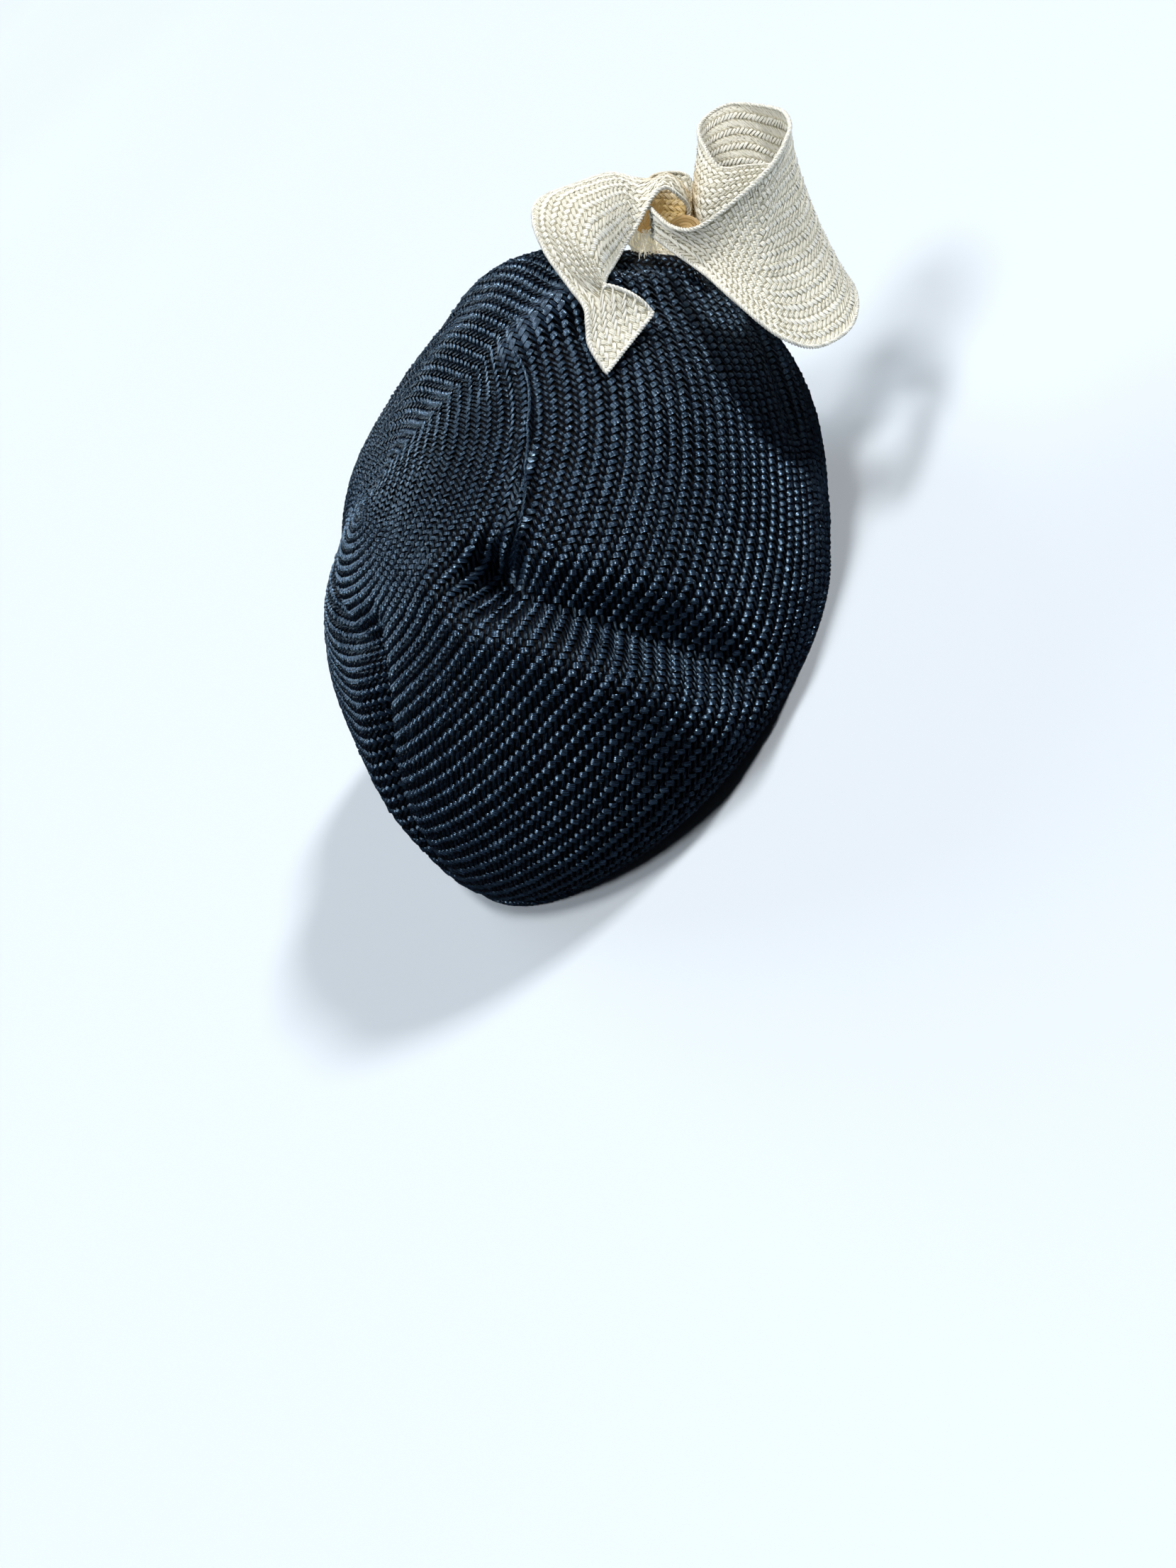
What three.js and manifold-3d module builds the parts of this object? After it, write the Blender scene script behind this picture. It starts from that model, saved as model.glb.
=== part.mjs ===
// A hand-draped straw beret with a curled straw trim.
// Millimetres. +Z is up through the crown, the front of the hat is -Y and the wearer's right is -X.
// A bearing is the plan direction in degrees from the front, turning through the wearer's left.
// A ring is the share of the way down the wall, from the tip of the crown (0) to its hem (1).
import * as THREE from "three";
import Module from "manifold-3d";

const wasm = await Module();
wasm.setup();

// Driving sizes
const REST = new THREE.Vector3(-11.3, 48.8, 0); // takes the hat's plan centre to the origin
const RIM_HALF_WIDTH = 83;
const RIM_HALF_LENGTH = 107;
const TIP = new THREE.Vector3(-20, -8, 152);
const WALL = 2; // two layers of straw stiffened together
const HEM_HEIGHT = 3; // the wall turns in this far over the surface that the hat rests on
const STRIP = 1.2; // thickness of the trim's straw
const GAP = 0.35; // between neighbouring pieces

const CROWN_BEARINGS = 64;
const CROWN_RINGS = 22;
const LAST_RING = 0.985; // the wall ends here and the hem begins

// The blocked form: how far the belly of the wall reaches at each bearing, how high it sits, and
// how full the dome over it is (2 is an ellipse).
const SECTIONS = [
  { bearing: 0, reach: 154, rise: 59, fullness: 2.35 },
  { bearing: 30, reach: 148, rise: 62, fullness: 2.25 },
  { bearing: 60, reach: 135, rise: 58, fullness: 2.25 },
  { bearing: 90, reach: 123, rise: 53, fullness: 2.25 },
  { bearing: 120, reach: 113, rise: 43, fullness: 2.0 },
  { bearing: 150, reach: 110, rise: 35, fullness: 2.0 },
  { bearing: 180, reach: 112, rise: 27, fullness: 1.9 },
  { bearing: 210, reach: 109, rise: 30, fullness: 2.05 },
  { bearing: 240, reach: 105, rise: 28, fullness: 2.1 },
  { bearing: 270, reach: 99, rise: 29, fullness: 2.1 },
  { bearing: 300, reach: 97, rise: 41, fullness: 2.1 },
  { bearing: 330, reach: 117, rise: 55, fullness: 2.2 },
];

// The crown stands taller over the forehead.
const SWELL = { height: 22, x: 18, y: -85, wide: 70, long: 60, from: 50, over: 60 };

// Folds and dents: each follows [bearing, ring, height], and fades over its width on either side.
// A step stands up on the tip's side of its line and drops on the other.
const FOLDS = [
  { name: "valley", width: 11,
    at: [[240, 0.33, -13], [251, 0.43, -15], [259, 0.53, -14], [267, 0.66, -12], [273, 0.82, -7]] },
  { name: "lobe_ridge", width: 14,
    at: [[226, 0.3, 6], [241, 0.44, 8], [251, 0.62, 7], [257, 0.78, 4]] },
  { name: "dent", width: 10, at: [[243, 0.32, -11], [238, 0.34, -11]] },
  { name: "lip", width: 14, step: true,
    at: [[345, 0.15, 0], [329, 0.18, 3], [295, 0.2, 5], [276, 0.23, 6], [258, 0.29, 6], [246, 0.32, 3]] },
  { name: "bowl", width: 16, at: [[330, 0.08, -3], [280, 0.11, -4], [250, 0.18, -3]] },
  { name: "far_dip", width: 13, at: [[350, 0.11, -4], [60, 0.1, -4], [110, 0.16, -3]] },
  { name: "outer_dip", width: 12, at: [[20, 0.22, -3], [60, 0.22, -4], [95, 0.27, -3]] },
  { name: "crease", width: 9, at: [[349, 0.4, 4], [343, 0.3, 5], [337, 0.17, 4]] },
  { name: "crease_foot", width: 10, at: [[338, 0.4, -2], [332, 0.29, -4], [325, 0.22, -2]] },
  { name: "tuck", width: 12, at: [[350, 0.4, -8], [354, 0.45, -15], [360, 0.5, -14]] },
  { name: "tuck_lip", width: 8, at: [[342, 0.38, 3], [347, 0.44, 5], [350, 0.5, 5]] },
  { name: "back_crease", width: 8,
    at: [[187, 0.36, -5], [188, 0.46, -12], [183, 0.6, -15], [180, 0.7, -15], [178, 0.85, -8]] },
  { name: "far_lobe", width: 34, at: [[160, 0.55, -5], [155, 0.75, -4]] },
  { name: "pocket", width: 7, at: [[130, 0.33, -4], [150, 0.37, -6], [168, 0.39, -6], [184, 0.39, -5]] },
  { name: "front_facet", width: 8,
    at: [[357, 0.54, -4], [353, 0.63, -5], [343, 0.7, -5], [333, 0.76, -3]] },
  { name: "left_pleat", width: 16, at: [[15, 0.4, -4], [35, 0.55, -6], [45, 0.72, -4]] },
  { name: "side_pleat", width: 18, at: [[40, 0.3, -3], [75, 0.5, -6], [85, 0.72, -4]] },
  { name: "side_dip", width: 20, at: [[110, 0.35, -4], [120, 0.6, -6], [122, 0.8, -3]] },
];
const STEP_SOFTNESS = 2.5;
const HEM_FADE = 0.12; // folds die out over this share of the wall above the hem

// Section of the rolled hem, outwards from the rim line and up from the surface.
const HEM = [
  { out: 2.6, up: 1.5 },
  { out: 1.6, up: 0 },
  { out: -2.4, up: 0 },
  { out: -3.2, up: 1.4 },
  { out: -2.8, up: 4.2 },
];

// ---------- the crown ----------

function smooth(a, b, c, d, t) {
  return b + 0.5 * t * (c - a + t * (2 * a - 5 * b + 4 * c - d + t * (3 * (b - c) + d - a)));
}

function section(column, bearing) {
  const count = SECTIONS.length;
  const place = (((bearing % 360) + 360) % 360) / 360 * count;
  const start = Math.floor(place);
  const value = (k) => SECTIONS[(start + k + count) % count][column];
  return smooth(value(-1), value(0), value(1), value(2), place - start);
}

function swell(point) {
  const across = (point.x - SWELL.x) / SWELL.wide;
  const along = (point.y - SWELL.y) / SWELL.long;
  const above = THREE.MathUtils.clamp((point.z - SWELL.from) / SWELL.over, 0, 1);
  return SWELL.height * Math.exp(-across * across - along * along) * above;
}

function rimPoint(bearing) {
  const angle = THREE.MathUtils.degToRad(bearing);
  return new THREE.Vector3(RIM_HALF_WIDTH * Math.sin(angle), -RIM_HALF_LENGTH * Math.cos(angle), 0);
}

// One line down the wall from tip to hem.
function meridian(bearing) {
  const steps = 80;
  const angle = THREE.MathUtils.degToRad(bearing);
  const reach = section("reach", bearing);
  const rise = section("rise", bearing);
  const power = 2 / section("fullness", bearing);
  const belly = new THREE.Vector3(reach * Math.sin(angle), -reach * Math.cos(angle), rise);
  const rim = rimPoint(bearing);
  const line = [];
  for (let i = 0; i <= steps; i++) {
    const turn = (i / steps) * Math.PI / 2;
    const out = Math.pow(Math.sin(turn), power);
    const up = Math.pow(Math.abs(Math.cos(turn)), power);
    const point = TIP.clone().lerp(belly, out);
    point.z = rise + (TIP.z - rise) * up;
    point.z += swell(point);
    line.push(point);
  }
  for (let i = 1; i <= steps; i++) {
    const turn = (i / steps) * Math.PI / 2;
    const point = rim.clone().lerp(belly, Math.cos(turn));
    point.z = HEM_HEIGHT + (rise - HEM_HEIGHT) * (1 - Math.sin(turn));
    point.z += swell(point);
    line.push(point);
  }
  return line;
}

function alongLine(line, shares) {
  const lengths = [0];
  for (let i = 1; i < line.length; i++) {
    lengths.push(lengths[i - 1] + line[i].distanceTo(line[i - 1]));
  }
  const total = lengths[lengths.length - 1];
  return shares.map((share) => {
    const wanted = THREE.MathUtils.clamp(share, 0, 1) * total;
    let i = 1;
    while (i < line.length - 1 && lengths[i] < wanted) i++;
    const part = (wanted - lengths[i - 1]) / (lengths[i] - lengths[i - 1]);
    return line[i - 1].clone().lerp(line[i], part);
  });
}

function smoothForm(bearing, ring) {
  return alongLine(meridian(bearing), [ring])[0];
}

function routeOf(fold) {
  const parts = 8;
  const route = [];
  for (let k = 0; k + 1 < fold.at.length; k++) {
    const [bearing, ring, height] = fold.at[k];
    const [nextBearing, nextRing, nextHeight] = fold.at[k + 1];
    const turn = ((nextBearing - bearing + 540) % 360) - 180;
    for (let i = 0; i <= parts; i++) {
      if (i === parts && k + 2 < fold.at.length) continue;
      const t = i / parts;
      route.push({
        point: smoothForm(bearing + turn * t, ring + (nextRing - ring) * t),
        height: height + (nextHeight - height) * t,
      });
    }
  }
  return route;
}

const ROUTES = FOLDS.map((fold) => ({ ...fold, route: routeOf(fold) }));

function foldHeight(point) {
  let total = 0;
  for (const { width, step, route } of ROUTES) {
    let nearest = Infinity;
    let height = 0;
    let side = 0;
    for (let k = 0; k + 1 < route.length; k++) {
      const start = route[k].point;
      const run = route[k + 1].point.clone().sub(start);
      const offset = point.clone().sub(start);
      const t = THREE.MathUtils.clamp(offset.dot(run) / run.lengthSq(), 0, 1);
      offset.addScaledVector(run, -t);
      if (offset.length() >= nearest) continue;
      nearest = offset.length();
      height = THREE.MathUtils.lerp(route[k].height, route[k + 1].height, t);
      const inward = TIP.clone().sub(start).sub(run.clone().multiplyScalar(0.5));
      inward.addScaledVector(run, -inward.dot(run) / run.lengthSq()).normalize();
      side = offset.dot(inward);
    }
    const away = nearest / width;
    if (step) total += 0.5 * height * Math.exp(-away) * Math.tanh(side / STEP_SOFTNESS);
    else total += height * Math.exp(-away * away);
  }
  return total;
}

function outwardOf(bearing, ring) {
  const turn = 0.25;
  const drop = 0.002;
  const round = smoothForm(bearing + turn, ring).sub(smoothForm(bearing - turn, ring));
  const down = smoothForm(bearing, ring + drop).sub(smoothForm(bearing, ring - drop));
  return down.cross(round).normalize();
}

// The outer face of the crown, one array of points for each ring, without the tip.
function outerRings() {
  const rings = [];
  for (let i = 1; i <= CROWN_RINGS; i++) {
    const ring = (i / CROWN_RINGS) * LAST_RING;
    const fade = THREE.MathUtils.clamp((1 - ring) / HEM_FADE, 0, 1);
    const row = [];
    for (let j = 0; j < CROWN_BEARINGS; j++) {
      const bearing = (j / CROWN_BEARINGS) * 360;
      const point = smoothForm(bearing, ring);
      row.push(point.addScaledVector(outwardOf(bearing, ring), foldHeight(point) * fade));
    }
    rings.push(row);
  }
  return rings;
}

const OUTER = outerRings();
const OUTER_TIP = TIP.clone().setZ(TIP.z + swell(TIP) + foldHeight(TIP.clone().setZ(TIP.z + swell(TIP))));

// The same face moved along its own normals, out (positive) or in (negative).
function offsetRings(amount) {
  return OUTER.map((row, i) => row.map((point, j) => {
    const above = i > 0 ? OUTER[i - 1][j] : OUTER_TIP;
    const below = i + 1 < OUTER.length ? OUTER[i + 1][j] : point;
    const before = row[(j + row.length - 1) % row.length];
    const after = row[(j + 1) % row.length];
    const normal = below.clone().sub(above).cross(after.clone().sub(before)).normalize();
    return point.clone().addScaledVector(normal, amount);
  }));
}

function hemRings() {
  return HEM.map(({ out, up }) => {
    const row = [];
    for (let j = 0; j < CROWN_BEARINGS; j++) {
      const angle = (j / CROWN_BEARINGS) * Math.PI * 2;
      const normal = new THREE.Vector3(
        Math.sin(angle) / RIM_HALF_WIDTH, -Math.cos(angle) / RIM_HALF_LENGTH, 0).normalize();
      row.push(rimPoint(THREE.MathUtils.radToDeg(angle)).addScaledVector(normal, out).setZ(up));
    }
    return row;
  });
}

// A closed body from a top point, rings of equal count, and a bottom point.
function ringedBody(top, rings, bottom) {
  const count = rings[0].length;
  const points = [top, ...rings.flat(), bottom];
  const last = points.length - 1;
  const at = (i, j) => 1 + i * count + (j % count);
  const faces = [];
  for (let j = 0; j < count; j++) {
    faces.push(0, at(0, j), at(0, j + 1));
    for (let i = 0; i + 1 < rings.length; i++) {
      faces.push(at(i, j), at(i + 1, j), at(i + 1, j + 1));
      faces.push(at(i, j), at(i + 1, j + 1), at(i, j + 1));
    }
    faces.push(last, at(rings.length - 1, j + 1), at(rings.length - 1, j));
  }
  return geometryOf(points, faces);
}

function geometryOf(points, faces) {
  const geometry = new THREE.BufferGeometry();
  geometry.setAttribute("position", new THREE.Float32BufferAttribute(points.flatMap((p) => p.toArray()), 3));
  geometry.setIndex(faces);
  return geometry;
}

function crownGeometry() {
  const inner = offsetRings(-WALL).reverse();
  const innerTip = OUTER_TIP.clone().setZ(OUTER_TIP.z - WALL);
  return ringedBody(OUTER_TIP, [...OUTER, ...hemRings(), ...inner], innerTip);
}

// ---------- the trim ----------

// The trim is laid out on axes of its own from its seat on the crown: right, up and toward. These
// turn from the hat's axes by a bearing, a tilt and a roll.
const TRIM_SEAT = new THREE.Vector3(-18, -112, 132);
const TRIM_TURN = { bearing: 253, tilt: 33, roll: 45 };

// Each strip is laid through a few stations: its two edges there, and how far it bows between them.
const STRIPS = {
  trim_curl: [
    { upper: [16, 19, -6], lower: [14, 9, -5], bow: 0 },
    { upper: [8, 25, 2], lower: [9, 14, 2], bow: 0 },
    { upper: [16, 14, 15], lower: [18, 5, 11], bow: 2 },
    { upper: [26, 11, 24], lower: [29, -6, 22], bow: 4 },
    { upper: [41, 21, 28], lower: [41, -19, 30], bow: 6 },
    { upper: [54, 35, 23], lower: [56, -31, 30], bow: 7 },
    { upper: [61, 50, 10], lower: [71, -33, 20], bow: 7 },
    { upper: [63, 60, -3], lower: [86, -22, 3], bow: 5 },
    { upper: [61, 70, -18], lower: [91, -5, -16], bow: 3 },
    { upper: [52, 76, -29], lower: [85, 10, -30], bow: 4 },
    { upper: [41, 78, -34], lower: [67, 20, -36], bow: 5 },
    { upper: [32, 73, -33], lower: [44, 23, -34], bow: 4 },
    { upper: [28, 64, -24], lower: [29, 23, -24], bow: 1 },
    { upper: [30, 53, -12], lower: [27, 21, -12], bow: -3 },
    { upper: [36, 43, -6], lower: [29, 18, -3], bow: -4 },
    { upper: [47, 45, -10], lower: [36, 19, 0], bow: -3 },
    { upper: [57, 48, -18], lower: [48, 25, -2], bow: -2 },
  ],
  trim_tail_loop: [
    { upper: [20, 11, -7], lower: [20, 12, -14], bow: 0 },
    { upper: [23, 22, -5], lower: [23, 25, -14], bow: 0 },
    { upper: [23, 27, -3], lower: [23, 33, -15], bow: -1 },
    { upper: [19, 30, 2], lower: [20, 39, -15], bow: -2 },
    { upper: [14, 32, 5], lower: [15, 42, -15], bow: -3 },
    { upper: [9, 28, 6], lower: [9, 40, -12], bow: -2 },
    { upper: [4, 18, 9], lower: [2, 40, -10], bow: -3 },
    { upper: [-1, 8, 15], lower: [-8, 41, -7], bow: -7 },
    { upper: [-5, -1, 22], lower: [-21, 34, 2], bow: -11 },
    { upper: [-8, -8, 30], lower: [-34, 25, 13], bow: -12 },
    { upper: [-9, -12, 34], lower: [-36, 14, 23], bow: -8 },
    { upper: [-9, -14, 36], lower: [-31, 0, 31], bow: -3 },
    { upper: [-9, -15, 37], lower: [-22, -14, 37], bow: 1 },
    { upper: [-8, -14, 37], lower: [-16, -23, 41], bow: 1 },
    { upper: [-1, -16, 36], lower: [-15, -30, 43], bow: 1 },
    { upper: [5, -19, 33], lower: [-14, -38, 45], bow: 1 },
    { upper: [9, -23, 31], lower: [-8, -48, 46], bow: 0 },
  ],
  trim_back_loop: [
    { upper: [13, 15, -9], lower: [15, 8, -11], bow: 0 },
    { upper: [8, 36, -15], lower: [9, 19, -15], bow: 0 },
    { upper: [9, 45, -24], lower: [12, 20, -19], bow: 2 },
    { upper: [17, 49, -31], lower: [17, 20, -21], bow: 3 },
    { upper: [23, 49, -34], lower: [22, 19, -21], bow: 2 },
    { upper: [26, 45, -34], lower: [25, 18, -20], bow: 1 },
  ],
};
const STEPS_PER_STATION = 3;
const STEPS_ACROSS = 6;

// The gathered ends of the strips, stitched down in the tuck of the crown.
const KNOT = { foot: [14, -5, -12], head: [19, 21, -4], radius: 7, ridge: 0.06 };

function trimMatrix() {
  const bearing = THREE.MathUtils.degToRad(TRIM_TURN.bearing);
  const tilt = THREE.MathUtils.degToRad(TRIM_TURN.tilt);
  const toward = new THREE.Vector3(
    Math.sin(bearing) * Math.cos(tilt), -Math.cos(bearing) * Math.cos(tilt), Math.sin(tilt));
  const right = new THREE.Vector3(Math.cos(bearing), Math.sin(bearing), 0);
  const up = new THREE.Vector3().crossVectors(toward, right);
  const roll = THREE.MathUtils.degToRad(-TRIM_TURN.roll);
  right.applyAxisAngle(toward, roll);
  up.applyAxisAngle(toward, roll);
  return new THREE.Matrix4().makeBasis(right, up, toward).setPosition(TRIM_SEAT);
}

// A smooth line through the stations' values of one column, at a place between stations.
function stationValue(stations, column, place) {
  const last = stations.length - 1;
  const start = Math.min(Math.floor(place), last - 1);
  const read = (k) => [stations[k][column]].flat();
  const value = (k) => {
    if (k < 0) return read(0).map((v, i) => 2 * v - read(1)[i]);
    if (k > last) return read(last).map((v, i) => 2 * v - read(last - 1)[i]);
    return read(k);
  };
  const [a, b, c, d] = [-1, 0, 1, 2].map((k) => value(start + k));
  return b.map((v, i) => smooth(a[i], v, c[i], d[i], place - start));
}

// The middle face of a strip as rows of points along its length, each row running across it.
function stripRows(stations, widen) {
  const count = (stations.length - 1) * STEPS_PER_STATION;
  const edges = [];
  for (let i = 0; i <= count; i++) {
    const place = i / STEPS_PER_STATION;
    const upper = new THREE.Vector3(...stationValue(stations, "upper", place));
    const lower = new THREE.Vector3(...stationValue(stations, "lower", place));
    edges.push({ upper, lower, bow: stationValue(stations, "bow", place)[0] });
  }
  for (const [end, next] of [[0, 1], [count, count - 1]]) {
    for (const side of ["upper", "lower"]) {
      const outward = edges[end][side].clone().sub(edges[next][side]).normalize();
      edges[end][side].addScaledVector(outward, widen);
    }
  }
  const middles = edges.map(({ upper, lower }) => upper.clone().lerp(lower, 0.5));
  return edges.map(({ upper, lower, bow }, i) => {
    const along = middles[Math.min(i + 1, count)].clone().sub(middles[Math.max(i - 1, 0)]);
    const across = lower.clone().sub(upper);
    const normal = along.cross(across).normalize();
    const spread = widen / across.length();
    const row = [];
    for (let j = 0; j <= STEPS_ACROSS; j++) {
      const v = j / STEPS_ACROSS;
      const point = upper.clone().lerp(lower, -spread + v * (1 + 2 * spread));
      row.push(point.addScaledVector(normal, 4 * v * (1 - v) * bow));
    }
    return row;
  });
}

// A strip of the given thickness, grown all round by an allowance where it serves as a cutter.
function stripGeometry(stations, thickness, widen) {
  const rows = stripRows(stations, widen);
  const last = rows.length - 1;
  const points = [];
  for (const face of [1, -1]) {
    rows.forEach((row, i) => row.forEach((point, j) => {
      const along = rows[Math.min(i + 1, last)][j].clone().sub(rows[Math.max(i - 1, 0)][j]);
      const across = row[Math.min(j + 1, STEPS_ACROSS)].clone().sub(row[Math.max(j - 1, 0)]);
      const normal = along.cross(across).normalize();
      points.push(point.clone().addScaledVector(normal, face * thickness / 2));
    }));
  }
  const wide = STEPS_ACROSS + 1;
  const at = (side, i, j) => side * rows.length * wide + i * wide + j;
  const faces = [];
  const quad = (a, b, c, d) => faces.push(a, b, c, a, c, d);
  for (let i = 0; i < last; i++) {
    for (let j = 0; j < STEPS_ACROSS; j++) {
      quad(at(0, i, j), at(0, i + 1, j), at(0, i + 1, j + 1), at(0, i, j + 1));
      quad(at(1, i, j), at(1, i, j + 1), at(1, i + 1, j + 1), at(1, i + 1, j));
    }
    quad(at(0, i, 0), at(1, i, 0), at(1, i + 1, 0), at(0, i + 1, 0));
    quad(at(0, i, STEPS_ACROSS), at(0, i + 1, STEPS_ACROSS), at(1, i + 1, STEPS_ACROSS), at(1, i, STEPS_ACROSS));
  }
  for (let j = 0; j < STEPS_ACROSS; j++) {
    quad(at(0, 0, j), at(0, 0, j + 1), at(1, 0, j + 1), at(1, 0, j));
    quad(at(0, last, j), at(1, last, j), at(1, last, j + 1), at(0, last, j + 1));
  }
  return geometryOf(points, faces).applyMatrix4(trimMatrix());
}

function solidOf(geometry) {
  return new wasm.Manifold(new wasm.Mesh({
    numProp: 3,
    vertProperties: new Float32Array(geometry.getAttribute("position").array),
    triVerts: new Uint32Array(geometry.index.array),
  }));
}

function geometryFromSolid(solid) {
  const mesh = solid.getMesh();
  const geometry = new THREE.BufferGeometry();
  geometry.setAttribute("position", new THREE.Float32BufferAttribute(mesh.vertProperties, 3));
  geometry.setIndex(Array.from(mesh.triVerts));
  return geometry;
}

// A rounded bundle from foot to head, with its ridges where the straw is gathered.
function knotGeometry() {
  const foot = new THREE.Vector3(...KNOT.foot);
  const axis = new THREE.Vector3(...KNOT.head).sub(foot);
  const turn = new THREE.Quaternion().setFromUnitVectors(new THREE.Vector3(0, 1, 0), axis.clone().normalize());
  const rings = [];
  const levels = 7;
  const sides = 14;
  for (let i = levels - 1; i >= 1; i--) {
    const level = i / levels;
    const radius = KNOT.radius * Math.sqrt(Math.sin(Math.PI * level));
    const ring = [];
    for (let j = 0; j < sides; j++) {
      const angle = (j / sides) * Math.PI * 2;
      const ridged = radius * (1 + KNOT.ridge * (j % 2));
      const around = new THREE.Vector3(ridged * Math.cos(angle), 0, -ridged * Math.sin(angle));
      ring.push(around.applyQuaternion(turn).add(foot).addScaledVector(axis, level));
    }
    rings.push(ring);
  }
  const head = new THREE.Vector3(...KNOT.head);
  return ringedBody(head, rings, foot).applyMatrix4(trimMatrix());
}

// The knot, cut to sit on the crown and to hold the ends of the strips in slots.
function seatedKnot() {
  const grown = offsetRings(GAP);
  const floor = OUTER_TIP.clone().setZ(0);
  const top = OUTER_TIP.clone().setZ(OUTER_TIP.z + GAP);
  let knot = solidOf(knotGeometry()).subtract(solidOf(ringedBody(top, grown, floor)));
  for (const stations of Object.values(STRIPS)) {
    knot = knot.subtract(solidOf(stripGeometry(stations, STRIP + 2 * GAP, GAP)));
  }
  const [largest] = knot.decompose().sort((a, b) => b.volume() - a.volume());
  return geometryFromSolid(largest);
}

// ---------- the hat ----------

const NAVY = new THREE.MeshStandardMaterial({ color: 0x1a2433, roughness: 0.42, metalness: 0 });
const IVORY = new THREE.MeshStandardMaterial({ color: 0xe9e2cb, roughness: 0.5, metalness: 0 });

const hat = new THREE.Group();
hat.position.copy(REST);

function addPiece(name, geometry, finish) {
  geometry.computeVertexNormals();
  const piece = new THREE.Mesh(geometry, finish.clone());
  piece.name = name;
  hat.add(piece);
}

addPiece("crown", crownGeometry(), NAVY);
for (const [name, stations] of Object.entries(STRIPS)) {
  addPiece(name, stripGeometry(stations, STRIP, 0), IVORY);
}
addPiece("trim_knot", seatedKnot(), IVORY);

export default hat;
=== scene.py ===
"""A hand-draped straw beret in navy with a curled ivory straw trim.

The hat's tables and forms are worked out in millimetres, and a mesh is made from them in metres.
+Z is up through the crown, the front of the hat is -Y and the wearer's right is -X.
"""
import math

import bmesh
import bpy
import numpy as np
from mathutils import Matrix, Vector


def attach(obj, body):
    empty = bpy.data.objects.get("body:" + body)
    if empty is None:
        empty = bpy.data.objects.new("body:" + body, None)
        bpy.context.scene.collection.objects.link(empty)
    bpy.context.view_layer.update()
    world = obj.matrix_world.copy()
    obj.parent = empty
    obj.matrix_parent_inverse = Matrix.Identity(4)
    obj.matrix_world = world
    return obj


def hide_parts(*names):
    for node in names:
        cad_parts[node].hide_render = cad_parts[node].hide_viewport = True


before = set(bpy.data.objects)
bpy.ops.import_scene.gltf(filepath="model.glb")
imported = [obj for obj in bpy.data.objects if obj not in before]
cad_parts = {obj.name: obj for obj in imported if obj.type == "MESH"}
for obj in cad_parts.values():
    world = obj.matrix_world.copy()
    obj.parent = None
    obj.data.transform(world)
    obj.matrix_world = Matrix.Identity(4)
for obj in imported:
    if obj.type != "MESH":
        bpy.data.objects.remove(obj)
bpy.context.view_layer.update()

METRES = 0.001
REST = np.array([-11.3, 48.8, 0.0])  # takes the hat's plan centre to the origin
RIM_HALF_WIDTH = 83.0
RIM_HALF_LENGTH = 107.0
TIP = np.array([-20.0, -8.0, 152.0])
WALL = 2.0
HEM_HEIGHT = 3.0
LAST_RING = 0.985  # where the crown's face meets the hem; rings run from 0 at the tip to 1 at the rim
BEARINGS = 480  # places round the crown's face, and from tip to hem
RINGS = 260

# bearing, reach of the belly, its height, fullness of the dome over it
SECTIONS = (
    (0, 154, 59, 2.35), (30, 148, 62, 2.25), (60, 135, 58, 2.25), (90, 123, 53, 2.25),
    (120, 113, 43, 2.0), (150, 110, 35, 2.0), (180, 112, 27, 1.9), (210, 109, 30, 2.05),
    (240, 105, 28, 2.1), (270, 99, 29, 2.1), (300, 97, 41, 2.1), (330, 117, 55, 2.2),
)
SWELL = dict(height=22.0, x=18.0, y=-85.0, wide=70.0, long=60.0, start=50.0, over=60.0)

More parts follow.
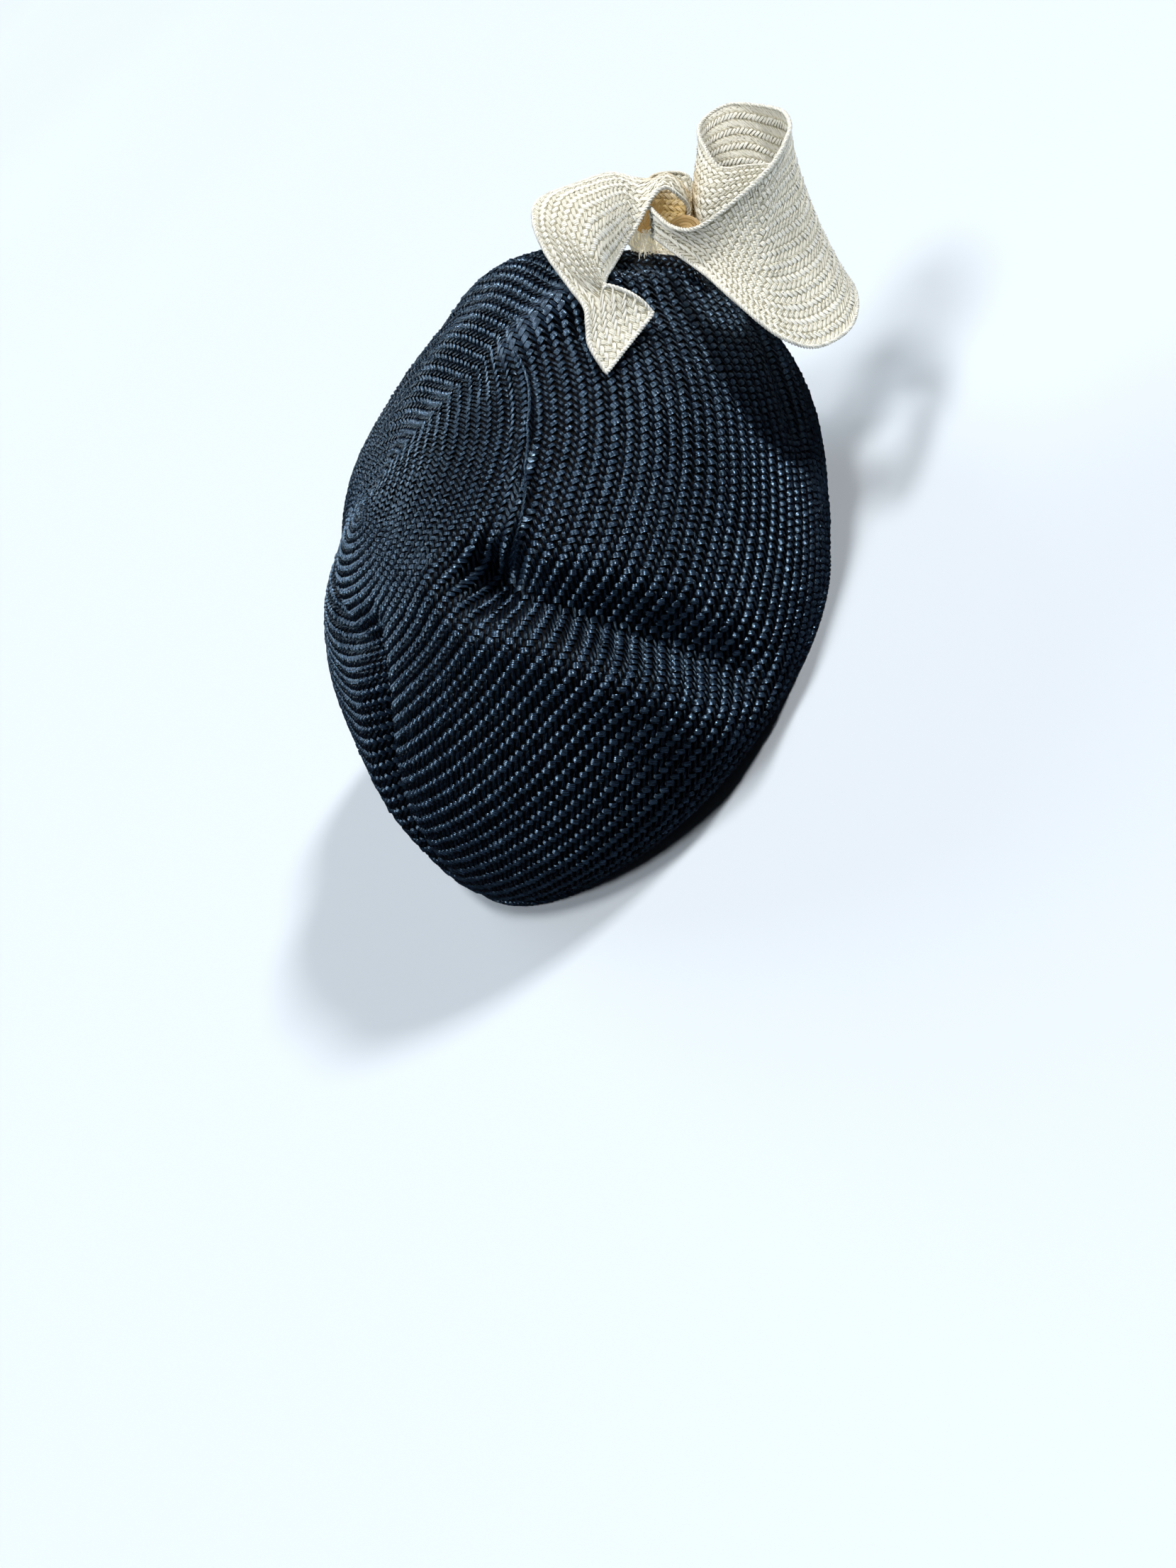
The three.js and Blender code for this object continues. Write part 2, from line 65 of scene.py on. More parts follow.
# name, width, whether it steps, and its line as (bearing, ring, height)
FOLDS = (
    ("valley", 11, False, (
        (240, 0.33, -13), (251, 0.43, -15), (259, 0.53, -14), (267, 0.66, -12), (273, 0.82, -7))),
    ("lobe ridge", 14, False, ((226, 0.30, 6), (241, 0.44, 8), (251, 0.62, 7), (257, 0.78, 4))),
    ("dent", 10, False, ((243, 0.32, -11), (238, 0.34, -11))),
    ("lip", 14, True, (
        (345, 0.15, 0), (329, 0.18, 3), (295, 0.20, 5), (276, 0.23, 6), (258, 0.29, 6), (246, 0.32, 3))),
    ("lip crest", 2.4, False, (
        (333, 0.18, 0.6), (318, 0.19, 1.8), (295, 0.20, 2.2), (276, 0.23, 2.2), (258, 0.29, 1.8),
        (247, 0.32, 0.6))),
    ("pressed crease", 3.5, False, ((345, 0.33, 0), (342, 0.27, 1.8), (339, 0.18, 2.0), (337, 0.12, 0))),
    ("lip foot", 4.5, False, (
        (330, 0.15, -1), (310, 0.15, -2.6), (292, 0.16, -2.8), (270, 0.19, -2.8), (252, 0.26, -2.4))),
    ("bowl", 16, False, ((330, 0.08, -3), (280, 0.11, -4), (250, 0.18, -3))),
    ("far dip", 13, False, ((350, 0.11, -4), (60, 0.10, -4), (110, 0.16, -3))),
    ("outer dip", 12, False, ((20, 0.22, -3), (60, 0.22, -4), (95, 0.27, -3))),
    ("crease", 9, False, ((349, 0.40, 4), (343, 0.30, 5), (337, 0.17, 4))),
    ("crease foot", 10, False, ((338, 0.40, -2), (332, 0.29, -4), (325, 0.22, -2))),
    ("tuck", 12, False, ((350, 0.40, -8), (354, 0.45, -15), (360, 0.50, -14))),
    ("tuck lip", 8, False, ((342, 0.38, 3), (347, 0.44, 5), (350, 0.50, 5))),
    ("back crease", 8, False, (
        (187, 0.36, -5), (188, 0.46, -12), (183, 0.60, -15), (180, 0.70, -15), (178, 0.85, -8))),
    ("far lobe", 34, False, ((160, 0.55, -5), (155, 0.75, -4))),
    ("pocket", 7, False, ((130, 0.33, -4), (150, 0.37, -6), (168, 0.39, -6), (184, 0.39, -5))),
    ("front facet", 8, False, ((357, 0.54, -4), (353, 0.63, -5), (343, 0.70, -5), (333, 0.76, -3))),
    ("left pleat", 16, False, ((15, 0.40, -4), (35, 0.55, -6), (45, 0.72, -4))),
    ("side pleat", 18, False, ((40, 0.30, -3), (75, 0.50, -6), (85, 0.72, -4))),
    ("side dip", 20, False, ((110, 0.35, -4), (120, 0.60, -6), (122, 0.80, -3))),
)
STEP_SOFTNESS = 1.6
HEM_FADE = 0.12  # the share of the way to the rim over which the folds run out

# section of the rolled hem: out from the rim line, up from the surface it rests on
HEM_UNDER_CORD = ((1.0, 1.6), (0.4, 0.3), (-2.4, 0.0), (-3.2, 1.4), (-2.8, 4.2))

# the trim's own axes stand at its seat: right, up and toward
TRIM_SEAT = np.array([-18.0, -112.0, 132.0])
TRIM_TURN = dict(bearing=253, tilt=33, roll=45)

# stations of each strip on the trim's axes: upper edge, lower edge, bow between them
STRIPS = {
    "trim_curl": (
        ((16, 19, -6), (14, 9, -5), 0), ((8, 25, 2), (9, 14, 2), 0), ((16, 14, 15), (18, 5, 11), 2),
        ((26, 11, 24), (29, -6, 22), 4), ((41, 21, 28), (41, -19, 30), 6),
        ((54, 35, 23), (56, -31, 30), 7), ((61, 50, 10), (71, -33, 20), 7),
        ((63, 60, -3), (86, -22, 3), 5), ((61, 70, -18), (91, -5, -16), 3),
        ((52, 76, -29), (85, 10, -30), 4), ((41, 78, -34), (67, 20, -36), 5),
        ((32, 73, -33), (44, 23, -34), 4), ((28, 64, -24), (29, 23, -24), 1),
        ((30, 53, -12), (27, 21, -12), -3), ((36, 43, -6), (29, 18, -3), -4),
        ((47, 45, -10), (36, 19, 0), -3), ((57, 48, -18), (48, 25, -2), -2),
    ),
    "trim_tail_loop": (
        ((20, 11, -7), (20, 12, -14), 0), ((23, 22, -5), (23, 25, -14), 0),
        ((23, 27, -3), (23, 33, -15), -1), ((19, 30, 2), (20, 39, -15), -2),
        ((14, 32, 5), (15, 42, -15), -3), ((9, 28, 6), (9, 40, -12), -2), ((4, 18, 9), (2, 40, -10), -3),
        ((-1, 8, 15), (-8, 41, -7), -7), ((-5, -1, 22), (-21, 34, 2), -11),
        ((-8, -8, 30), (-34, 25, 13), -12), ((-9, -12, 34), (-36, 14, 23), -8),
        ((-9, -14, 36), (-31, 0, 31), -3), ((-9, -15, 37), (-22, -14, 37), 1),
        ((-8, -14, 37), (-16, -23, 41), 1), ((-1, -16, 36), (-15, -30, 43), 1),
        ((5, -19, 33), (-14, -38, 45), 1), ((9, -23, 31), (-8, -48, 46), 0),
    ),
    "trim_back_loop": (
        ((13, 15, -9), (15, 8, -11), 0), ((8, 36, -15), (9, 19, -15), 0), ((9, 45, -24), (12, 20, -19), 2),
        ((17, 49, -31), (17, 20, -21), 3), ((23, 49, -34), (22, 19, -21), 2),
        ((26, 45, -34), (25, 18, -20), 1),
    ),
}

chance = np.random.default_rng(7)


# ---------- forms ----------

PROFILE_STEPS = 120  # along the dome, and again under its belly
STEPS_BETWEEN_STATIONS = 8


def smooth(a, b, c, d, t):
    """A soft curve through values a, b, c, d, read at share t of the way from b to c."""
    return b + 0.5 * t * (c - a + t * (2 * a - 5 * b + 4 * c - d + t * (3 * (b - c) + d - a)))


def unit(v):
    return v / np.maximum(np.linalg.norm(v, axis=-1, keepdims=True), 1e-12)


def line_lengths(lines):
    """The distance to each point of a line, or of each of many lines, from its start."""
    far = np.cumsum(np.linalg.norm(np.diff(lines, axis=-2), axis=-1), -1)
    return np.concatenate([np.zeros((*far.shape[:-1], 1)), far], -1)


def read_rows(place, known, rows):
    """Rows of values, which are known at some places along a line, read at others."""
    return np.stack([np.interp(place, known, column) for column in np.transpose(rows)], -1)


def section(column, bearings):
    """One column of SECTIONS, read between its rows."""
    values = np.array([row[column] for row in SECTIONS], float)
    place = (bearings % 360) / 360 * len(values)
    start = np.floor(place).astype(int)
    around = [values[(start + k) % len(values)] for k in (-1, 0, 1, 2)]
    return smooth(*around, place - start)


def swell(points):
    """How far the front of the crown rises over the seat of the trim."""
    across = (points[..., 0] - SWELL["x"]) / SWELL["wide"]
    along = (points[..., 1] - SWELL["y"]) / SWELL["long"]
    above = np.clip((points[..., 2] - SWELL["start"]) / SWELL["over"], 0, 1)
    return SWELL["height"] * np.exp(-across ** 2 - along ** 2) * above


def smooth_form(bearings, rings):
    """The blocked form before its folds, as an array of bearings by rings."""
    angle = np.radians(bearings)
    reach, rise, fullness = (section(k, bearings)[:, None] for k in (1, 2, 3))
    heading = np.stack([np.sin(angle), -np.cos(angle)], -1)
    belly = np.concatenate([reach * heading, rise], 1)
    rim = np.stack([RIM_HALF_WIDTH * np.sin(angle), -RIM_HALF_LENGTH * np.cos(angle), 0 * angle], -1)
    turn = np.linspace(0, math.pi / 2, PROFILE_STEPS + 1)
    out = np.sin(turn) ** (2 / fullness)
    up = np.abs(np.cos(turn)) ** (2 / fullness)
    upper = TIP + (belly[:, None] - TIP) * out[..., None]
    upper[..., 2] = rise + (TIP[2] - rise) * up
    lower = rim[:, None] + (belly - rim)[:, None] * np.cos(turn)[None, :, None]
    lower[..., 2] = HEM_HEIGHT + (rise - HEM_HEIGHT) * (1 - np.sin(turn))
    lines = np.concatenate([upper, lower[:, 1:]], 1)
    lines[..., 2] += swell(lines)
    lengths = line_lengths(lines)
    return np.array([read_rows(rings * far[-1], far, line) for far, line in zip(lengths, lines)])


def fold_line(stations):
    """A fold's line in short steps, as points on the blocked form and the height at each."""
    line = []
    for station, following in zip(stations, stations[1:]):
        step = np.subtract(following, station)
        step[0] = (step[0] + 540) % 360 - 180
        for t in np.arange(STEPS_BETWEEN_STATIONS) / STEPS_BETWEEN_STATIONS:
            line.append(station + step * t)
    line = np.array(line + [np.array(stations[-1], float)])
    route = np.array([smooth_form(place[:1], place[1:2])[0, 0] for place in line])
    return route, line[:, 2]


def fold_heights(points):
    """How far the folds lift or sink the blocked form at points."""
    total = np.zeros(len(points))
    for _, width, steps_up, stations in FOLDS:
        route, heights = fold_line(stations)
        near = np.full(len(points), np.inf)
        height = np.zeros(len(points))
        side = np.zeros(len(points))
        for k in range(len(route) - 1):
            run = route[k + 1] - route[k]
            offset = points - route[k]
            t = np.clip(offset @ run / (run @ run), 0, 1)
            offset = offset - t[:, None] * run
            away = np.linalg.norm(offset, axis=1)
            closer = away < near
            near[closer] = away[closer]
            height[closer] = (heights[k] + (heights[k + 1] - heights[k]) * t)[closer]
            inward = TIP - route[k] - run / 2
            inward = unit(inward - run * (inward @ run) / (run @ run))
            side[closer] = (offset @ inward)[closer]
        if steps_up:
            total += 0.5 * height * np.exp(-near / width) * np.tanh(side / STEP_SOFTNESS)
        else:
            total += height * np.exp(-(near / width) ** 2)
    return total


class Surface:
    """A grid of points u by v with its normals, read anywhere between them; closed if u runs round."""

    def __init__(self, points, closed):
        self.points = points
        self.closed = closed
        along_u = np.roll(points, -1, 0) - np.roll(points, 1, 0) if closed else np.gradient(points, axis=0)
        along_v = np.gradient(points, axis=1)
        self.normals = unit(np.cross(along_v, along_u))

    def read(self, grid, u, v):
        rows, columns = grid.shape[:2]
        u = u % rows if self.closed else np.clip(u, 0, rows - 1)
        v = np.clip(v, 0, columns - 1)
        i = np.floor(u).astype(int)
        j = np.minimum(np.floor(v).astype(int), columns - 2)
        if not self.closed:
            i = np.minimum(i, rows - 2)
        s = (u - i)[..., None]
        t = (v - j)[..., None]
        i %= rows
        k = (i + 1) % rows
        return ((1 - s) * (1 - t) * grid[i, j] + s * (1 - t) * grid[k, j]
                + (1 - s) * t * grid[i, j + 1] + s * t * grid[k, j + 1])

    def at(self, u, v, height=0.0):
        normal = unit(self.read(self.normals, u, v))
        return self.read(self.points, u, v) + normal * np.asarray(height)[..., None]


def crown_face():
    """The crown as blocked, and the same with its folds in."""
    bearings = np.arange(BEARINGS) * 360 / BEARINGS
    rings = np.linspace(0, LAST_RING, RINGS)
    form = smooth_form(bearings, rings)
    blocked = Surface(form, True)
    blocked.normals[:, 0] = (0, 0, 1)
    fade = np.clip((1 - rings) / HEM_FADE, 0, 1)
    heights = fold_heights(form.reshape(-1, 3)).reshape(form.shape[:2]) * fade
    face = form + blocked.normals * heights[..., None]
    face[:, 0] = face[:, 0].mean(0)
    surface = Surface(face, True)
    surface.normals[:, 0] = (0, 0, 1)
    return blocked, surface


# ---------- meshes ----------

def placed(name, data):
    """A new object, put in the scene."""
    obj = bpy.data.objects.new(name, data)
    bpy.context.scene.collection.objects.link(obj)
    return obj


def piece(name, form, material):
    """A mesh object from points in millimetres, faces, and layers as (name, two values of each point)."""
    points, faces, layers = form
    mesh = bpy.data.meshes.new(name)
    mesh.vertices.add(len(points))
    mesh.vertices.foreach_set("co", ((points + REST) * METRES).astype(np.float32).ravel())
    mesh.loops.add(faces.size)
    mesh.loops.foreach_set("vertex_index", faces.astype(np.int32).ravel())
    mesh.polygons.add(len(faces))
    mesh.polygons.foreach_set("loop_start", np.arange(0, faces.size, faces.shape[1], dtype=np.int32))
    mesh.polygons.foreach_set("use_smooth", np.full(len(faces), True))
    for layer_name, values in layers:
        layer = mesh.uv_layers.new(name=layer_name)
        layer.uv.foreach_set("vector", values[faces.ravel()].astype(np.float32).ravel())
    mesh.update(calc_edges=True)
    mesh.validate()
    mesh.materials.append(material)
    obj = placed(name, mesh)
    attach(obj, "root")
    return obj


def grid_faces(rows, columns, closed):
    """Quads over a grid of points, which face the way of a Surface's normals."""
    i = np.arange(rows if closed else rows - 1)
    j = np.arange(columns - 1)
    i, j = np.meshgrid(i, j, indexing="ij")
    k = (i + 1) % rows
    quads = np.stack([i * columns + j, i * columns + j + 1, k * columns + j + 1, k * columns + j], -1)
    return quads.reshape(-1, 4)


# Rows along a float and its height there: its ends dive under their neighbours.
FLOAT_ROWS = ((-1.0, -0.55), (-0.5, 0.42), (0.5, 0.42), (1.0, -0.55))
FLOAT_LEAN = 0.16  # its tilt to one side, as a share of its lift
FLOAT_ARCH = 0.40  # how far its long edges drop
STRAW_GROOVE = 0.16  # how deep it dips between two straws
FLOAT_TAPER = 0.18  # how much narrower its ends are
UNEVEN = dict(slant=3, long=0.04, wide=0.06, raised=0.07, lean=0.10, dip=0.10)  # how much floats differ
OWN_SHADE = 0.4  # a float's own shade runs from 0 to this
RIGHT_LEAN_PAINTED_GLINT = 0.6  # more where it leans right: a painted glint, as if those floats caught the light


def woven_floats(surface, u, v, run, slant, half_long, half_wide, strands, lift, base, face, painted_shine):
    """Arched floats laid on a surface: a grid of points for each, as points, faces and mesh layers.

    u is the place of each and v that of all, run +1 or -1 for the way they slant, slant the angle of each
    in degrees, strands the count of straws in one, base the height of the cloth's own face, face +1 for
    the front of the surface or -1 for its back, and the last argument what a pressed float adds to its
    shade as a painted highlight.
    """
    step = 0.5
    along_u = (surface.at(u + step, v) - surface.at(u - step, v)) / (2 * step)
    along_v = (surface.at(u, v + step) - surface.at(u, v - step)) / (2 * step)
    mm_u = np.maximum(np.linalg.norm(along_u, axis=1), 0.02)
    mm_v = np.maximum(np.linalg.norm(along_v, axis=1), 0.02)
    count = len(u)
    slant = np.radians(slant + chance.normal(0, UNEVEN["slant"], count)) * run
    long = half_long * chance.normal(1, UNEVEN["long"], count)
    wide = half_wide * chance.normal(1, UNEVEN["wide"], count)
    raised = chance.normal(0, UNEVEN["raised"], count)
    lean = chance.normal(FLOAT_LEAN * run, UNEVEN["lean"], count)
    dip = chance.normal(0, UNEVEN["dip"], count)
    columns = 2 * strands + 1
    across = np.linspace(-1, 1, columns)
    groove = np.where(np.arange(columns) % 2 == 0, STRAW_GROOVE, 0.0) if strands > 1 else np.zeros(columns)
    points = np.empty((count, len(FLOAT_ROWS), columns, 3))
    for row, (a, height) in enumerate(FLOAT_ROWS):
        narrow = 1 - FLOAT_TAPER * abs(a) ** 3
        for column, b in enumerate(across):
            x = a * long * np.cos(slant) - b * wide * narrow * np.sin(slant)
            y = a * long * np.sin(slant) + b * wide * narrow * np.cos(slant)
            arch = FLOAT_ARCH * b * b + groove[column]
            over = base + (height + raised + lean * b + dip * a - arch) * lift
            points[:, row, column] = surface.at(u + x / mm_u, v + y / mm_v, face * over)
    rows = np.array([a for a, _ in FLOAT_ROWS])[:, None]
    # a float's own shade: a random tone, plus a painted glint where it leans right and a painted highlight
    # where it is pressed flat
    shade = OWN_SHADE * chance.random(count) + (RIGHT_LEAN_PAINTED_GLINT if run > 0 else 0) + painted_shine
    straw = [(across + 1) / 2, (rows + 1) / 2]
    own = [shade[:, None, None], np.abs(rows) ** 4]
    shape = points.shape[:3]
    layers = [(name, np.stack([np.broadcast_to(part, shape) for part in pair], -1).reshape(-1, 2))
              for name, pair in (("straw", straw), ("float", own))]
    one = grid_faces(len(FLOAT_ROWS), columns, False)
    if face < 0:
        one = one[:, ::-1]
    faces = (one[None] + (np.arange(count) * len(FLOAT_ROWS) * columns)[:, None, None]).reshape(-1, 4)
    return points.reshape(-1, 3), faces, layers


def joined(parts):
    """Many parts, each points, faces and layers, as one."""
    points, faces, layers, start = [], [], [], 0
    for part_points, part_faces, part_layers in parts:
        points.append(part_points)
        faces.append(part_faces + start)
        layers.append([values for _, values in part_layers])
        start += len(part_points)
    names = [name for name, _ in parts[0][2]]
    return (np.concatenate(points), np.concatenate(faces),
            [(name, np.concatenate(values)) for name, values in zip(names, zip(*layers))])


SIDES = 6  # of a tube, an even count


def tube(path, radius):
    """A closed tube along points, its radius one number or one for each point."""
    path = np.asarray(path, float)
    radius = np.broadcast_to(radius, len(path))
    along = unit(np.gradient(path, axis=0))
    side = np.cross(along[0], (0.3, 0.5, 0.8))
    turn = np.arange(SIDES) * 2 * math.pi / SIDES
    rows = []
    for point, heading, reach in zip(path, along, radius):
        side = unit(side - heading * (side @ heading))
        other = np.cross(heading, side)
        rows.append(point + reach * (np.cos(turn)[:, None] * side + np.sin(turn)[:, None] * other))
    points = np.concatenate(rows)
    i, j = np.meshgrid(np.arange(len(path) - 1), np.arange(SIDES), indexing="ij")
    k = (j + 1) % SIDES
    walls = np.stack([i * SIDES + j, i * SIDES + k, (i + 1) * SIDES + k, (i + 1) * SIDES + j], -1)
    caps = []
    for m in range(1, SIDES - 2, 2):
        caps.append((0, m + 2, m + 1, m))
        caps.append(tuple(len(points) - SIDES + n for n in (0, m, m + 1, m + 2)))
    across = np.tile(np.arange(SIDES) / SIDES, len(path))
    run = np.repeat(np.linspace(0, 1, len(path)), SIDES)
    own = np.full(len(points), chance.random())
    layers = [("straw", np.stack([across, run], -1)), ("float", np.stack([own, 0 * own], -1))]
    return points, np.concatenate([walls.reshape(-1, 4), caps]), layers


CORD_STRANDS = 2
STEPS_PER_TURN = 7
STRAND_OFFSET = 0.85  # of a strand's radius, from the cord's own line


def twisted_cord(line, strand, pitch, closed=False):
    """Strands twisted about a line, as the parts of one mesh; strand is the radius of each."""
    lengths = line_lengths(line)
    total = lengths[-1]
    turns = round(total / pitch)
    steps = turns * STEPS_PER_TURN + 1
    place = np.linspace(0, total, steps)
    core = read_rows(place, lengths, line)
    along = unit(np.gradient(core, axis=0))
    if closed:
        along[0] = along[-1] = unit(along[0] + along[-1])
    if closed:
        side = unit(np.cross(along, (0.0, 0.0, 1.0)))
    else:
        side = np.empty_like(core)
        side[0] = unit(np.cross(along[0], (0.2, 0.3, 0.9)))
        for i in range(1, steps):
            side[i] = unit(side[i - 1] - along[i] * (side[i - 1] @ along[i]))
    other = np.cross(along, side)
    parts = []
    for n in range(CORD_STRANDS):
        turn = (place / total * turns + n / CORD_STRANDS) * 2 * math.pi
        round_core = np.cos(turn)[:, None] * side + np.sin(turn)[:, None] * other
        parts.append(tube(core + strand * STRAND_OFFSET * round_core, strand))
    return parts


WELD = 2e-6  # metres
SLIVER = 1e-7


def merge_close(obj):
    """Welds points that meet, and drops the slivers that this leaves."""
    mesh = bmesh.new()
    mesh.from_mesh(obj.data)
    bmesh.ops.remove_doubles(mesh, verts=mesh.verts, dist=WELD)
    bmesh.ops.dissolve_degenerate(mesh, edges=mesh.edges, dist=SLIVER)
    mesh.to_mesh(obj.data)
    mesh.free()
    return obj


# ---------- straw finishes ----------

class Value:
    """A shader socket that adds Math nodes as expressions are written with it."""

    def __init__(self, build, socket):
        self.build = build
        self.socket = socket

    def _maths(self, operation, a, b=None):
        values = {0: a} if b is None else {0: a, 1: b}
        return self.build.node("ShaderNodeMath", dict(operation=operation), values)

    def __add__(self, other):
        return self._maths("ADD", self, other)

    def __sub__(self, other):
        return self._maths("SUBTRACT", self, other)

    def __rsub__(self, other):
        return self._maths("SUBTRACT", other, self)

    def __mul__(self, other):
        return self._maths("MULTIPLY", self, other)

    __radd__ = __add__

    def sine(self):
        return self._maths("SINE", self)

    def size(self):
        return self._maths("ABSOLUTE", self)

    def clamped(self):
        return self.build.node("ShaderNodeClamp", {}, {0: self})


class Finish:
    """One material, built up node by node."""

    def __init__(self, name):
        self.material = bpy.data.materials.new(name)
        self.material.use_nodes = True
        self.tree = self.material.node_tree
        self.shader = self.tree.nodes["Principled BSDF"]

    def node(self, kind, settings, inputs, output=0):
        node = self.tree.nodes.new(kind)
        for name, value in settings.items():
            setattr(node, name, value)
        self.feed(node, inputs)
        return Value(self, node.outputs[output])

    def feed(self, node, inputs):
        for name, value in inputs.items():
            if isinstance(value, Value):
                self.tree.links.new(value.socket, node.inputs[name])
            else:
                node.inputs[name].default_value = value

    def pair(self, layer):
        """The two values of a mesh layer."""
        place = self.node("ShaderNodeUVMap", dict(uv_map=layer), {})
        across = self.node("ShaderNodeSeparateXYZ", {}, {0: place})
        return across, Value(self, across.socket.node.outputs[1])

    def noise(self, vector, scale, detail=2.0):
        return self.node("ShaderNodeTexNoise", {}, {"Vector": vector, "Scale": scale, "Detail": detail})

    def vector(self, x, y, z=0.0):
        return self.node("ShaderNodeCombineXYZ", {}, {0: x, 1: y, 2: z})

    def place(self):
        return self.node("ShaderNodeTexCoord", {}, {}, output=3)

    def blend(self, share, a, b):
        inputs = {"Factor": share, 6: a, 7: b}
        return self.node("ShaderNodeMix", dict(data_type="RGBA"), inputs, output=2)

    def bump(self, height, distance):
        return self.node("ShaderNodeBump", {}, {"Strength": 1.0, "Distance": distance, "Height": height})

    def surface(self, **inputs):
        self.feed(self.shader, {name.replace("_", " "): value for name, value in inputs.items()})
        return self.material


RIDGE_DEPTH = 0.00011  # metres
TWILL_DEPTH = 0.0005
# strength of the painted glow that stands for light coming through loose straw
PAINTED_GLOW_STRENGTH = 0.3
BLACK = (0, 0, 0, 1)
WHITE = (1, 1, 1, 1)


def straw_finish(name, colours, roughness, strands, gloss, tint, refraction=1.5, warm=None, glow=None,
                 satin_highlight=WHITE):
    """Split straw laid side by side in floats: fine ridges, each float a little its own shade.

    colours are the painted shade between the straws, their body, and the painted sheen where one catches
    the light. A float whose own shade is over 1 is pressed flat and takes the satin colour, a painted
    highlight. warm changes the colour where light comes through the straw, a painted light, and glow is the
    colour of straw that light comes through all over, a painted glow from straw that is no lamp.
    """
    dark, body, light = colours
    finish = Finish(name)
    across, along = finish.pair("straw")
    own, tucked = finish.pair("float")
    ridges = (across * (strands * math.pi)).sine().size()
    grain = finish.noise(finish.vector(across * 9 + own * 60, along * 1.6, own * 40), 1.0, 3.0)
    # painted shade: a float is painted darker between its straws and where its ends are tucked under
    shade = (ridges * 0.9 + grain * 0.5 + own * 0.3 - tucked * 0.8 - 0.15).clamped()
    # painted sheen: the ridges of the straws and floats of high own shade are painted lighter, as where
    # light catches them
    painted_sheen = ((own * 0.5 + grain * 1.3 + ridges * 0.7 - tucked - 1.25) * 2.0).clamped()
    colour = finish.blend(painted_sheen, finish.blend(shade, dark, body), light)
    # painted highlight: floats pressed flat along the crease take the satin colour
    colour = finish.blend((own - 1.0).clamped(), colour, satin_highlight)
    if warm:
        colour = warm(finish, colour)
    return finish.surface(
        Base_Color=colour,
        Roughness=roughness + grain * 0.16,
        Specular_IOR_Level=gloss,
        Specular_Tint=tint,
        IOR=refraction,
        # painted glow: the straw gives off a little light, standing for light that comes through it
        Emission_Color=glow or BLACK,
        Emission_Strength=PAINTED_GLOW_STRENGTH if glow else 0.0,
        Normal=finish.bump(ridges + grain * 0.25, RIDGE_DEPTH),
    )


# painted shade: near black between the navy straws, at their tucked ends and on the ground under them
NAVY_PAINTED_SHADE = (0.0001, 0.0002, 0.0006, 1)
# between painted shade and painted sheen, the middle colour is the straw's own body
NAVY = (NAVY_PAINTED_SHADE, (0.0010, 0.0022, 0.0065, 1), (0.022, 0.045, 0.085, 1))
# painted highlight of the floats pressed flat along the crease
NAVY_SATIN_PAINTED_HIGHLIGHT = (0.055, 0.078, 0.115, 1)
NAVY_TINT = (0.44, 0.68, 0.96, 1)
# painted shade between the ivory and raffia straws
IVORY_PAINTED_SHADE = (0.64, 0.60, 0.46, 1)
# painted sheen where the ivory and raffia straws catch the light
IVORY_PAINTED_SHEEN = (0.99, 0.99, 0.95, 1)
IVORY = (IVORY_PAINTED_SHADE, (0.93, 0.91, 0.80, 1), IVORY_PAINTED_SHEEN)
RAFFIA = (IVORY_PAINTED_SHADE, (0.88, 0.84, 0.70, 1), IVORY_PAINTED_SHEEN)
# painted shade and painted light: dark amber raffia for the knot in the shade of the trim
RAFFIA_PAINTED_SHADE_AND_GLOW = ((0.05, 0.03, 0.012, 1), (0.36, 0.23, 0.09, 1), (0.66, 0.48, 0.24, 1))
# painted light: the amber of light that has come through the straw, put on deep in the trim
CAVITY_PAINTED_LIGHT = (0.58, 0.41, 0.15, 1)

CAVITY = (18, 30, -20)  # heart of the trim on its own axes, where light coming through the straw is painted amber
CAVITY_REACH = 0.022  # metres
CAVITY_FADE = 1.9  # how sharply the painted amber light begins there
CAVITY_MOST = 0.95


def trim_matrix():
    """The trim's axes as rows: right, up and toward."""
    bearing, tilt, roll = (math.radians(TRIM_TURN[k]) for k in ("bearing", "tilt", "roll"))
    level = math.cos(tilt)
    toward = Vector((math.sin(bearing) * level, -math.cos(bearing) * level, math.sin(tilt)))
    right = Vector((math.cos(bearing), math.sin(bearing), 0))
    turn = Matrix.Rotation(-roll, 3, toward)
    right, up = turn @ right, turn @ toward.cross(right)
    return np.array([right, up, toward])


TRIM_AXES = trim_matrix()


def on_hat(points):
    """Points on the trim's axes, as points of the hat."""
    return TRIM_SEAT + np.asarray(points, float) @ TRIM_AXES


def painted_cavity_light(finish, colour):
    """Painted light: the straw is painted amber deep inside the trim, where light comes only through it."""
    heart = (on_hat(CAVITY) + REST) * METRES
    offset = finish.node("ShaderNodeVectorMath", dict(operation="DISTANCE"),
                         {0: finish.place(), 1: tuple(heart)}, output=1)
    share = ((CAVITY_REACH - offset) * (CAVITY_FADE / CAVITY_REACH)).clamped() * CAVITY_MOST
    return finish.blend(share, colour, CAVITY_PAINTED_LIGHT)


